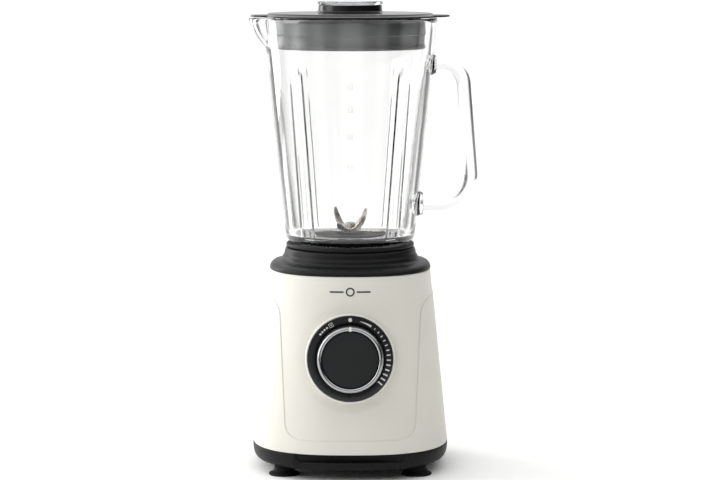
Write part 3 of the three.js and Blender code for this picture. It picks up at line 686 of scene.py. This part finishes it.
# Turned stainless bar has fine rings round it.
turned_steel = metal("stainless_steel_turned", "#b4b4b2", "#c6c6c4", 0.28, 0.07, (0.05, 0.05, 1), 0.35, 0.002)
shaft = turned("spindle", [
    (0, 195.5, 0), (4, 195.5, 0.4), (4, 208.6, 0.2), (3, 208.6, 0), (3, 215.9, 0.3), (0, 215.9, 0)],
               48, closed=False)
seat(shaft, "blades", "steel", ["blade_shaft"], turned_steel)
washer = turned("washer", [(3.3, 213.8, 0.1), (5.6, 213.8, 0.2), (5.6, 214.5, 0.2), (3.3, 214.5, 0.1)], 48)
seat(washer, "blades", "steel", ["blade_washer"], turned_steel)
nut = added("dome_nut", "cylinder", vertices=6, radius=5.4 * MM, depth=2.9 * MM, location=(0, 0, 216.05 * MM))
pick(nut, lambda f: f.normal.z > 0.9, "faces")
bpy.ops.mesh.bevel(offset=0.5 * MM, segments=3, affect="EDGES")
pick(nut, lambda f: f.normal.z > 0.95, "faces")
bpy.ops.mesh.inset(thickness=1.2 * MM, depth=0.25 * MM)
bpy.ops.mesh.inset(thickness=1.2 * MM, depth=0.15 * MM)
bpy.ops.object.mode_set(mode="OBJECT")
carve(nut, rod("bore", 3.3, 214, 216.3))
seat(nut, "blades", "steel", ["blade_nut"], turned_steel)
# Rolled stainless sheet, ground bright along its length.
ground_steel = metal("stainless_steel_ground", "#b9b2a9", "#d2ccc4", 0.26, 0.08, (1, 0.08, 0.3), 0.7, 0.003)


def blade(name, height, hub, arm, azimuth, node, twist=0, teeth=()):
    """One strip: a hub and two like arms. arm lists (distance from the hub, rise, width, sideways shift) along an arm,
    twist pitches it, in degrees, and teeth are the heights of the notches ground in one edge."""
    halves = []
    for turn in (0, math.pi):
        bpy.ops.object.select_all(action="DESELECT")
        bpy.ops.mesh.primitive_plane_add(size=1, location=(hub / 2 * MM, 0, height * MM))
        bpy.context.object.scale = (hub * MM, arm[0][2] * MM, 1)
        piece = start_piece("arm")
        out, rise, width, shift = arm[0]
        for next_out, next_rise, next_width, next_shift in arm[1:]:
            edge_at = (hub + out) * MM
            pick(piece, lambda e: all(abs(v.co.x - edge_at) < 2e-6 for v in e.verts), "edges")
            bpy.ops.mesh.extrude_region_move(TRANSFORM_OT_translate={"value": Vector(
                (next_out - out, next_shift - shift, next_rise - rise)) * MM})
            bpy.ops.transform.resize(value=(1, next_width / width, 1), center_override=Vector((hub + next_out,
                next_shift, height + next_rise)) * MM)
            if twist and next_out < 13:
                bpy.ops.transform.rotate(value=math.radians(twist / 2), orient_axis="X", center_override=Vector(
                    (hub + next_out, next_shift, height + next_rise)) * MM)
            out, rise, width, shift = next_out, next_rise, next_width, next_shift
        bpy.ops.object.mode_set(mode="OBJECT")
        place(piece, Matrix.Rotation(turn, 4, "Z"))
        halves.append(piece)
    piece = joined(name, *halves)
    opened(piece)
    bpy.ops.mesh.remove_doubles(threshold=2e-6)
    bpy.ops.mesh.subdivide(number_cuts=2, smoothness=0.6)
    closed_up()
    modified(piece, "SOLIDIFY", thickness=1.3 * MM, offset=0)
    modified(piece, "BEVEL", width=0.5 * MM, segments=2, limit_method="ANGLE", angle_limit=math.radians(60))
    carve(piece, rod("bore", 3.3, height - 3, height + 3))
    for up in teeth:
        low, high = next((a, b) for a, b in zip(arm, arm[1:]) if a[1] <= up <= b[1])
        out, rise, width, shift = Vector(low).lerp(Vector(high), (up - low[1]) / (high[1] - low[1]))
        notch = place(rod("notch", 0.75, -3, 3, sides=12), spun(90, "Y"))
        carve(piece, place(notch, move(hub + out, shift - width / 2 - 0.15, height + up)))
    place(piece, spun(azimuth))
    return seat(piece, "blades", "blade_steel", [node], ground_steel, shade=40)


low_arm = [(0, 0, 10, 0), (6, 0, 9.2, 0), (12, -0.6, 8, 0.4), (18, -1, 5.4, 1), (22, -1.2, 2, 1.6)]
middle_arm = [(0, 0, 10, 0), (3, 0.5, 9.6, 0), (8, 2.6, 8.4, 0.3), (13, 5.4, 6.4, 0.8), (18, 9, 2, 1.6)]
tall_arm = [(0, 0, 10, 0), (2.6, 1.2, 10, 0), (5, 4, 9.8, 0), (7.2, 8, 9, 0.2), (8.8, 12.6, 7.4, 0.5),
            (9.6, 16.4, 5, 0.9), (9.8, 18.4, 2.4, 1.2)]
blade("low_blade", 209.6, 9, low_arm, 6, "blade_lower", twist=-12)
blade("middle_blade", 211.3, 7.5, middle_arm, 62, "blade_middle")
blade("tall_blade", 213.0, 5.6, tall_arm, -32, "blade_upper", teeth=(5.5, 7.4, 9.3, 11.2, 13.1, 15))

# ------------ glass jug
# A heavy jug pressed in soda-lime glass: tapered, with a rounded foot, a pouring lip drawn out of the rim, and four
# flutes pressed inwards to break up the whirl of the blades. Two bosses on its side carry the handle.
RIM, FOOT_EDGE, LIP_FOOT, RIB_TOP = 398.7, 209.0, 374.0, 355.5
LIP_REACH, LIP_HALF_ANGLE = 12.4, 0.42
FLUTE_ANGLE, FLUTE_HALF, FLUTE_SIDE = 42.0, 6.2, 1.9
FLUTE_DEPTH_INSIDE, FLUTE_DEPTH_OUTSIDE = 1.3, 0.35
STIPPLES, STIPPLE_DEPTH = 96, 0.3


def glass_outer(z):
    return 58.1 + 0.10228 * (z - FOOT_EDGE)


def glass_inner(z):
    return glass_outer(z) - 6.2 + 1.2 * (z - FOOT_EDGE) / (RIM - FOOT_EDGE)


WAVE_MM = 22.0


def glass(name, colour, roughness, absorbed, depth_mm, ior):
    """Clear glass or plastic: colourless on its surface, tinted by its thickness, and slightly wavy."""
    material, tree, shader, output, where = new_material(name)
    wave = noise(tree, where, WAVE_MM, 1.0)
    bumped(tree, shader, wave, 0.05)
    tree.links.new(ramp(tree, wave, 0, 1, roughness * 0.5, roughness * 1.5, "LINEAR"), shader.inputs["Roughness"])
    shader.inputs["Base Color"].default_value = linear(colour)
    shader.inputs["Transmission Weight"].default_value = 1.0
    shader.inputs["IOR"].default_value = ior
    volume = add_node(tree, "ShaderNodeVolumeAbsorption", {"Density": 1 / (depth_mm * MM)})
    volume.inputs["Color"].default_value = linear(absorbed)
    tree.links.new(volume.outputs[0], output.inputs["Volume"])
    return material


soda_glass = glass("soda_lime_glass_pressed", "#ffffff", 0.0, "#dfe6e3", 160, 1.52)
low_rows = [FOOT_EDGE + (LIP_FOOT - FOOT_EDGE) * i / 33 for i in range(34)]
high_rows = [LIP_FOOT + (RIM - LIP_FOOT) * i / 12 for i in range(1, 13)]
rows = low_rows + high_rows
jug = turned("jug", (
    [(34, 191, 0.5), (47.3, 191, 0.9), (47.3, 200.6, 0.7), (52.6, 200.7, 1.5), (57, 203.6, 2.5)]
    + [(glass_outer(z), z, 0) for z in rows]
    + [(77.2, 400.15, 0.6), (73.1, 400.15, 0.6)]
    + [(glass_inner(z), z, 0) for z in reversed(rows[1:])]
    + [(50.9, 207.4, 2.2), (46, 206.5, 2), (34, 206.5, 0.6)]), 480)


def lip_push(angle, z):
    """How far the pouring lip is drawn out at an angle from -X, in millimetres."""
    off = abs(angle) / LIP_HALF_ANGLE
    if z <= LIP_FOOT or off >= 1:
        return 0.0
    up = min(1.0, (z - LIP_FOOT) / (RIM - LIP_FOOT))
    return LIP_REACH * math.sin(math.pi / 2 * up**0.95) * math.cos(off * math.pi / 2) ** 2


def flute_push(angle, radius, z, depth):
    """How far a flute is pressed in. Its sides are steep and its top is round."""
    from_front = min(abs(abs(math.degrees(angle)) - FLUTE_ANGLE), abs(abs(math.degrees(angle)) - 180 + FLUTE_ANGLE))
    across = math.radians(from_front) * radius
    above = max(0.0, z - (RIB_TOP - FLUTE_HALF))
    t = min(1.0, max(0.0, (FLUTE_HALF - math.hypot(across, above)) / FLUTE_SIDE))
    return depth * t * t * (3 - 2 * t)


for v in jug.data.vertices:
    radius, z = math.hypot(v.co.x, v.co.y), v.co.z / MM
    from_front = math.atan2(v.co.x, -v.co.y)
    if radius > 48 * MM and 200 < z < 203.8:
        v.co.z += STIPPLE_DEPTH * MM * math.cos(STIPPLES * from_front)
    if radius < 49 * MM or z < 201:
        continue
    foot_share = min(1.0, max(0.0, (z - 201.2) / 4))
    depth = FLUTE_DEPTH_OUTSIDE if radius / MM > glass_outer(z) - 2.5 else FLUTE_DEPTH_INSIDE
    pull = lip_push(math.atan2(v.co.y, -v.co.x), z) - flute_push(from_front, radius / MM, z, depth) * foot_share
    v.co.x *= 1 + pull * MM / radius
    v.co.y *= 1 + pull * MM / radius

HANDLE_TOP, HANDLE_FOOT = 359.0, 233.3
upper_boss = turned("upper_boss", [(0, 69, 0), (10.6, 69, 0), (9.6, 73.2, 1.2), (8.6, 74.6, 0.8), (8.2, 76.2, 0.5),
    (0, 76.2, 0)], 64, closed=False)
lower_boss = turned("lower_boss", [(0, 57.2, 0), (12, 57.2, 0), (11.2, 61, 1.2), (10.2, 63.6, 0.9), (9.8, 65.0, 0.5),
    (0, 65.0, 0)], 64, closed=False)
TO_HANDLE = spun(90, "Y")
place(upper_boss, move(z=HANDLE_TOP) @ TO_HANDLE)
place(lower_boss, move(z=HANDLE_FOOT + 1.6) @ TO_HANDLE)
weld(jug, upper_boss, lower_boss)
seat(jug, "jug", "glass", ["jug_glass"], soda_glass, shade=50)

# ------------ jug's measuring marks
# Figures and short lines raised on the front of the glass, one for every 0.3 litre, with a slightly frosted face.
frosted_glass = glass("soda_lime_glass_frosted", "#e8ebeb", 0.3, "#dfe6e3", 160, 1.52)
figures = []
for litres, height in (("1.5", 340.5), ("1.2", 320.7), ("0.9", 297.1), ("0.6", 270.3)):
    bpy.ops.object.select_all(action="DESELECT")
    bpy.ops.object.text_add(location=(0, 0, 0))
    figure = bpy.context.object
    figure.data.body, figure.data.size, figure.data.align_x = litres, 4.6 * MM, "CENTER"
    figure.data.extrude = 0.12 * MM
    figure.data.resolution_u = 4
    bpy.ops.object.convert(target="MESH")
    figure = bpy.context.object
    opened(figure)
    bpy.ops.mesh.remove_doubles(threshold=1e-6)
    closed_up()
    place(figure, move(z=height + 1.2) @ spun(90, "X"))
    line = pressed("line", [(-2.8, height - 0.25, 0), (2.8, height - 0.25, 0), (2.8, height + 0.25, 0),
        (-2.8, height + 0.25, 0)], -0.12, 0.12)
    figures += [figure, line]
printed("jug_marks", figures, "jug", "glass", frosted_glass, lambda co: AXIS + Vector(
    (co.x, co.y - math.sqrt((glass_outer(co.z / MM) * MM) ** 2 - co.x**2) - 0.02 * MM, co.z)))

# ------------ jug handle
# A bent bar of the same glass, wider than it is thick, fused to the two bosses.
BAR_WIDTH, BAR_THICKNESS = 18, 12.7
handle = outlined("handle_bar", [(76.7, HANDLE_TOP, 0), (99.75, HANDLE_TOP, 17.5), (109.8, HANDLE_FOOT, 28.5),
    (65.5, HANDLE_FOOT, 0)], closed=False)
bpy.ops.object.mode_set(mode="OBJECT")
bpy.ops.object.convert(target="CURVE")
handle = bpy.context.object
handle.data.bevel_depth, handle.data.bevel_resolution, handle.data.use_fill_caps = BAR_THICKNESS / 2 * MM, 10, True
bpy.ops.object.convert(target="MESH")
handle = bpy.context.object
handle.name = handle.data.name = "handle_bar"
opened(handle)
bpy.ops.mesh.remove_doubles(threshold=2e-6)
bpy.ops.transform.resize(value=(1, BAR_WIDTH / BAR_THICKNESS, 1), center_override=(0, 0, 0))
bpy.ops.mesh.normals_make_consistent(inside=False)
pick(handle, lambda f: len(f.verts) > 12, "faces")
bpy.ops.mesh.bevel(offset=1.0 * MM, segments=3, affect="EDGES")
bpy.ops.object.mode_set(mode="OBJECT")
seat(handle, "jug", "glass", ["jug_handle"], soda_glass, shade=60)

# ------------ lid and its seal
# The black lid is moulded in polypropylene with a flat top, a neck for the measuring cap, a tab over the pouring lip
# and a thumb tab opposite. A grey silicone seal is stretched over its plug.
# The lid's black polypropylene comes from a polished mould.
black_gloss = moulded("black_polypropylene_gloss", "#131314", "#171718", 0.2, 0.03, 0.8, 0.004, 0.35)
lid = turned("lid_cover", [
    (25.6, 399, 0.4), (28.2, 399, 0.3), (28.2, 400.8, 0.4), (60, 400.8, 0.4), (60, 377, 0.6), (62.6, 377, 0.6),
    (62.6, 400.8, 0.3), (78, 400.8, 0.3), (78, 402.3, 0.5), (74.4, 403, 0.8), (72.6, 404.5, 0.7), (50, 404.9, 2),
    (30.8, 405.1, 1.2), (28.6, 406.2, 0.7), (28.1, 411.8, 0.6), (25.6, 411.8, 0.4)], 160)
for side in (-1, 1):
    tab = pressed("tab", [(side * x, z, r) for x, z, r in [(70, -25, 0), (75.5, -24.5, 3), (86, -15, 9),
        (89.9, 0, 10), (86, 15, 9), (75.5, 24.5, 3), (70, 25, 0)]], -402.9, -401.2)
    place(tab, spun(-90, "X"))
    modified(tab, "BEVEL", width=0.5 * MM, segments=3, limit_method="ANGLE")
    opened(tab)
    bpy.ops.mesh.remove_doubles(threshold=8e-5)
    closed_up()
    weld(lid, tab)
# The welds leave slivers that hang on one edge, and they are taken off.
opened(lid)
pick(lid, lambda face: any(len(edge.link_faces) == 1 for edge in face.edges), "faces")
bpy.ops.mesh.delete(type="ONLY_FACE")
bpy.ops.mesh.select_all(action="SELECT")
bpy.ops.mesh.delete_loose(use_verts=True, use_edges=True, use_faces=False)
bpy.ops.object.mode_set(mode="OBJECT")
seat(lid, "lid", "black_plastic", ["lid"], black_gloss, shade=40)
seal = turned("plug_seal", [(63, 374, 0.3), (65.4, 373.2, 0.6), (67.1, 374.2, 0.6), (67.1, 376.2, 0.5),
    (65.9, 377.4, 0.5), (66.2, 385.6, 0.3), (67.2, 386.4, 0.4), (66.3, 397.2, 0.8), (63, 398, 0.4)], 160)
seat(seal, "lid", "grey_silicone", ["lid_seal"], silicone)

# ------------ measuring cap
# A clear cap moulded in SAN, with a flat top and a hollow cup that hangs down through the lid. Three lugs under its
# flange rest on the neck.
cap = turned("cap_cup", [(23.1, 379, 0.4), (24.3, 379, 0.4), (24.9, 412.2, 0.4), (29, 412.4, 0.5), (29, 414.5, 0.7),
    (27.6, 415, 0.4), (0, 415, 0), (0, 412.9, 0), (22.6, 412.6, 1.6)], 128)
lugs = []
for angle in (0, 120, 240):
    lug = block("lug", (25.2, -1.4, 411.9), (28.4, 1.4, 412.8), 0.4)
    lugs.append(place(lug, spun(angle - 90)))
weld(cap, *lugs)
clear_san = glass("clear_san_moulded", "#ffffff", 0.02, "#e4eaec", 60, 1.57)
seat(cap, "measuring_cap", "clear_plastic", ["measuring_cap"], clear_san)

# ------------ motor and switch gear
# What is sealed in the base keeps its shape from the design and gets the finish of the real thing.
laminations = metal("laminated_silicon_steel", "#6f7478", "#565a5d", 0.45, 0.08, (0.02, 0.02, 1), 0.5, 0.03)
winding = metal("enamelled_copper_wire", "#b4622f", "#7d3f1c", 0.35, 0.06, (0.05, 1, 1), 0.5, 0.05)
carbon = moulded("pressed_carbon", "#2b2b2b", "#363636", 0.7, 0.05, 0.5, 0.02)
board = moulded("glass_epoxy_board", "#2c6a3c", "#25583a", 0.45, 0.05, 0.6, 0.01)
SPRING_FOOT, SPRING_TOP, SPRING_RADIUS, WIRE_RADIUS, COILS = 161.2, 171.7, 3.6, 0.45, 5
spring = added("switch_spring", "circle", vertices=12, radius=WIRE_RADIUS * MM, rotation=(math.radians(90), 0, 0),
               location=(SPRING_RADIUS * MM, 0, (SPRING_FOOT + WIRE_RADIUS) * MM))
bpy.ops.object.mode_set(mode="OBJECT")
modified(spring, "SCREW", angle=2 * math.pi, iterations=COILS, steps=28, render_steps=28,
         screw_offset=(SPRING_TOP - SPRING_FOOT - 2 * WIRE_RADIUS) / COILS * MM)
opened(spring)
bpy.ops.mesh.remove_doubles(threshold=1e-6)
bpy.ops.mesh.fill_holes(sides=0)
closed_up()
place(spring, ON_AXIS @ move(y=SWITCH_PIN_Y))
smooth(spring, 60)
spring_steel = metal("spring_steel_wire", "#a9a9a6", "#bdbdb9", 0.3, 0.05, (1, 1, 1), 0.6, 0.002)
kept_nodes = {
    laminations: ["motor_stator", "armature"],
    winding: ["field_coil_left", "field_coil_right", "commutator"],
    zinc_plate: ["upper_motor_bracket", "lower_motor_bracket"],
    turned_steel: ["upper_bearing", "lower_bearing", "motor_shaft", "switch_spindle"],
    sintered_bronze: ["brush_holder_left", "brush_holder_right"],
    carbon: ["carbon_brush_left", "carbon_brush_right"],
    board: ["control_board"],
    black_nylon: ["rotary_switch", "interlock_switch", "air_duct", "cooling_fan"],
    nitrile_rubber: [f"motor_mount_{end}_{side}" for end in ("front", "rear") for side in ("left", "right")],
}
for finish, names in kept_nodes.items():
    for name in names:
        node = frame["nodes"][name]
        node.data.materials.clear()
        node.data.materials.append(finish)
fit(spring, "base", "steel", ["interlock_spring"], spring_steel)
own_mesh(spring)

# ------------ floor, light and camera
# A white sweep in a studio that is bright overhead, on the left and behind, and dark in front and on the right. Two
# soft boxes on the left light the side and the edges of the object.
floor = added("floor", "circle", vertices=96, radius=60, fill_type="NGON", location=(AXIS.x, AXIS.y, 0))
bpy.ops.object.mode_set(mode="OBJECT")
paper, paper_tree, paper_shader, _, paper_where = new_material("white_studio_paper")
fibre = noise(paper_tree, paper_where, 0.6 / MM, 2.0)
paper_tree.links.new(blend(paper_tree, fibre, "#fefefd", "#fafaf9"), paper_shader.inputs["Base Color"])
paper_shader.inputs["Roughness"].default_value = 0.9
paper_shader.inputs["Specular IOR Level"].default_value = 0.1
floor.data.materials.append(paper)

def maths(tree, operation, *values):
    """The result of a sum on values or sockets."""
    return add_node(tree, "ShaderNodeMath", dict(enumerate(values)), operation=operation).outputs[0]


world = bpy.data.worlds.new("studio")
bpy.context.scene.world = world
world.use_nodes = True
sky = world.node_tree
sky.nodes.clear()
direction = add_node(sky, "ShaderNodeTexCoord").outputs["Generated"]
parts = add_node(sky, "ShaderNodeSeparateXYZ", {"Vector": direction})
ceiling = ramp(sky, parts.outputs["Z"], 0.3, 0.75, 0.0, 1.22)
left_wall = ramp(sky, parts.outputs["X"], -0.95, 0.1, 0.7, 0.03)
back_wall = ramp(sky, parts.outputs["Y"], 0.6, 0.95, 0.0, 0.9)
total = maths(sky, "ADD", ceiling, maths(sky, "ADD", left_wall, back_wall))
glow = add_node(sky, "ShaderNodeBackground", {"Color": (1, 1, 1, 1), "Strength": total})
add_node(sky, "ShaderNodeOutputWorld", {"Surface": glow.outputs[0]})


def soft_box(name, width, height, power, at, aim):
    """A rectangular soft light, in metres and watts, pointed at aim."""
    bpy.ops.object.light_add(type="AREA", location=at)
    light = bpy.context.object
    light.name = light.data.name = name
    light.data.shape, light.data.size, light.data.size_y, light.data.energy = "RECTANGLE", width, height, power
    light.rotation_euler = (Vector(aim) - Vector(at)).to_track_quat("-Z", "Y").to_euler()
    light.visible_camera = False


soft_box("key_left", 0.9, 1.3, 11, (-1.8, -0.2, 0.75), (0, 0, 0.2))
soft_box("strip_rear_left", 0.5, 1.2, 9, (-1.3, 1.0, 0.65), (0, 0, 0.3))

# Cards that fade from white to grey lie on the floor. The edges of the glass show them as darker bands, and one at
# the front right darkens the reflections there. Only glass or gloss shows them, and they cast no shadow.
CARD_NEAR, CARD_FULL, CARD_FAR = 0.45, 0.95, 4.0


def faded_paper(name, middle, half):
    """White paper that darkens towards a direction, in degrees from the Y axis, alike in all quarters."""
    material, tree, shader, _, where = new_material(name)
    at = add_node(tree, "ShaderNodeSeparateXYZ", {"Vector": where}).outputs
    angle = maths(tree, "ARCTAN2", maths(tree, "ABSOLUTE", at["X"]), maths(tree, "ABSOLUTE", at["Y"]))
    off = maths(tree, "ABSOLUTE", maths(tree, "SUBTRACT", angle, math.radians(middle)))
    sideways = ramp(tree, off, math.radians(half), math.radians(half) * 0.35)
    distance = add_node(tree, "ShaderNodeVectorMath", {0: where}, operation="LENGTH").outputs["Value"]
    share = maths(tree, "MULTIPLY", sideways, ramp(tree, distance, CARD_NEAR, CARD_FULL))
    tree.links.new(blend(tree, share, "#fefefd", "#1c1c1c"), shader.inputs["Base Color"])
    shader.inputs["Roughness"].default_value = 0.9
    return material


def card(name, paper, first, last, turn=0, mirror=1):
    """A flat sector round the origin. Its angles run from +Y towards +X, in degrees, or towards -X if mirrored."""
    corners = [(mirror * radius * math.sin(math.radians(a)), radius * math.cos(math.radians(a)), 0) for radius,
        a in ((CARD_NEAR / MM, first), (CARD_FAR / MM, first), (CARD_FAR / MM, last), (CARD_NEAR / MM, last))]
    sheet = pressed(name, corners, -3, -1)
    place(sheet, spun(turn) @ spun(-90, "X"))
    sheet.visible_camera = sheet.visible_diffuse = sheet.visible_shadow = False
    sheet.data.materials.append(paper)
    return sheet


for middle, half in ((27, 17), (64, 17)):
    paper = faded_paper(f"faded_paper_{middle}", middle, half)
    for turn in (0, 180):
        for mirror in (1, -1):
            card("glass_card", paper, middle - half, middle + half, turn, mirror).visible_glossy = False
card("gloss_card", faded_paper("faded_paper_gloss", 75, 60), 75, 165).visible_transmission = False

LENS_MM, SENSOR_MM = 123.6, 36.0
CAMERA_BACK, CAMERA_UP, PITCH = 2.200, 0.460, 6.547
bpy.ops.object.camera_add(location=(AXIS.x, AXIS.y - CAMERA_BACK, CAMERA_UP), rotation=(math.radians(90 - PITCH), 0,
    0))
camera = bpy.context.object
camera.data.lens, camera.data.sensor_width = LENS_MM, SENSOR_MM
camera.data.shift_x, camera.data.shift_y = 0.0136, -0.0089
camera.data.clip_end = 200
bpy.context.scene.camera = camera
bpy.context.scene.view_settings.view_transform = "Standard"
